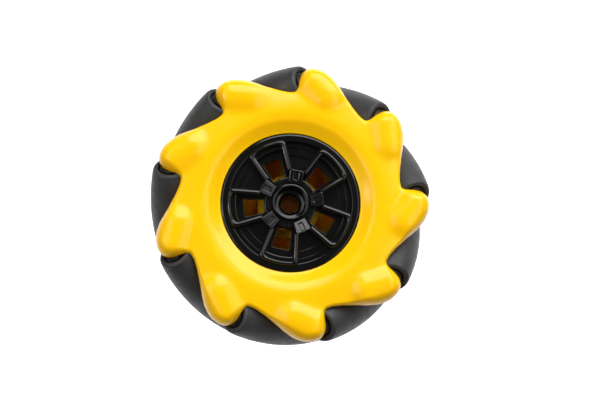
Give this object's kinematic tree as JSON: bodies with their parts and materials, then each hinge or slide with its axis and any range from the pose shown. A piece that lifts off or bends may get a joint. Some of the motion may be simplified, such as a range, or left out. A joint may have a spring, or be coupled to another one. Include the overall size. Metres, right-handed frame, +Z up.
{
  "type": "mecanum wheel",
  "caption": "Mecanum wheel with slanted barrel rollers held between two fingered shells, a spoked hub insert and a hexagonal drive socket at the back.",
  "frame": {"origin": "centre of the wheel, where its axle crosses its middle plane", "axes": "+Y along the axle from the spoked front face to the back, +Z up, +X to the right seen from the front"},
  "size_m": [0.0799, 0.037, 0.0799],
  "materials": {
    "yellow_shell": "glossy moulded yellow ABS",
    "black_hub": "glossy moulded black ABS",
    "roller_rubber": "matte black moulded rubber",
    "roller_nylon": "matte dark nylon",
    "bush_acetal": "matte black acetal",
    "pin_steel": "ground steel rod",
    "screw_steel": "zinc-plated steel"
  },
  "bodies": {
    "wheel_frame": {"front_shell": "yellow_shell", "rear_shell": "yellow_shell", "drive_plate": "yellow_shell", "spoke_hub": "black_hub", "shell_screw_1": "screw_steel", "shell_screw_2": "screw_steel", "shell_screw_3": "screw_steel", "shell_screw_4": "screw_steel", "shell_screw_5": "screw_steel", "roller_pin_1": "pin_steel", "roller_pin_2": "pin_steel", "roller_pin_3": "pin_steel", "roller_pin_4": "pin_steel", "roller_pin_5": "pin_steel", "roller_pin_6": "pin_steel", "roller_pin_7": "pin_steel", "roller_pin_8": "pin_steel", "roller_pin_9": "pin_steel"},
    "roller_1": {"roller_tyre_1": "roller_rubber", "roller_core_1": "roller_nylon", "roller_bush_front_1": "bush_acetal", "roller_bush_back_1": "bush_acetal"},
    "roller_2": {"roller_tyre_2": "roller_rubber", "roller_core_2": "roller_nylon", "roller_bush_front_2": "bush_acetal", "roller_bush_back_2": "bush_acetal"},
    "roller_3": {"roller_tyre_3": "roller_rubber", "roller_core_3": "roller_nylon", "roller_bush_front_3": "bush_acetal", "roller_bush_back_3": "bush_acetal"},
    "roller_4": {"roller_tyre_4": "roller_rubber", "roller_core_4": "roller_nylon", "roller_bush_front_4": "bush_acetal", "roller_bush_back_4": "bush_acetal"},
    "roller_5": {"roller_tyre_5": "roller_rubber", "roller_core_5": "roller_nylon", "roller_bush_front_5": "bush_acetal", "roller_bush_back_5": "bush_acetal"},
    "roller_6": {"roller_tyre_6": "roller_rubber", "roller_core_6": "roller_nylon", "roller_bush_front_6": "bush_acetal", "roller_bush_back_6": "bush_acetal"},
    "roller_7": {"roller_tyre_7": "roller_rubber", "roller_core_7": "roller_nylon", "roller_bush_front_7": "bush_acetal", "roller_bush_back_7": "bush_acetal"},
    "roller_8": {"roller_tyre_8": "roller_rubber", "roller_core_8": "roller_nylon", "roller_bush_front_8": "bush_acetal", "roller_bush_back_8": "bush_acetal"},
    "roller_9": {"roller_tyre_9": "roller_rubber", "roller_core_9": "roller_nylon", "roller_bush_front_9": "bush_acetal", "roller_bush_back_9": "bush_acetal"}
  },
  "joints": [
    {"name": "roller_1_spin", "type": "hinge", "parent": "wheel_frame", "child": "roller_1", "pos_m": [0.02933, 0, 0.01399], "axis": [-0.3044, 0.7071, 0.6382], "continuous": true},
    {"name": "roller_2_spin", "type": "hinge", "parent": "wheel_frame", "child": "roller_2", "pos_m": [0.01348, 0, 0.02957], "axis": [-0.6434, 0.7071, 0.2932], "continuous": true},
    {"name": "roller_3_spin", "type": "hinge", "parent": "wheel_frame", "child": "roller_3", "pos_m": [-0.00869, 0, 0.03132], "axis": [-0.6814, 0.7071, -0.189], "continuous": true},
    {"name": "roller_4_spin", "type": "hinge", "parent": "wheel_frame", "child": "roller_4", "pos_m": [-0.02678, 0, 0.01841], "axis": [-0.4005, 0.7071, -0.5827], "continuous": true},
    {"name": "roller_5_spin", "type": "hinge", "parent": "wheel_frame", "child": "roller_5", "pos_m": [-0.03235, 0, -0.00312], "axis": [0.0678, 0.7071, -0.7039], "continuous": true},
    {"name": "roller_6_spin", "type": "hinge", "parent": "wheel_frame", "child": "roller_6", "pos_m": [-0.02278, 0, -0.02318], "axis": [0.5043, 0.7071, -0.4956], "continuous": true},
    {"name": "roller_7_spin", "type": "hinge", "parent": "wheel_frame", "child": "roller_7", "pos_m": [-0.00255, 0, -0.0324], "axis": [0.7049, 0.7071, -0.0555], "continuous": true},
    {"name": "roller_8_spin", "type": "hinge", "parent": "wheel_frame", "child": "roller_8", "pos_m": [0.01887, 0, -0.02646], "axis": [0.5757, 0.7071, 0.4106], "continuous": true},
    {"name": "roller_9_spin", "type": "hinge", "parent": "wheel_frame", "child": "roller_9", "pos_m": [0.03146, 0, -0.00814], "axis": [0.177, 0.7071, 0.6846], "continuous": true}
  ]
}
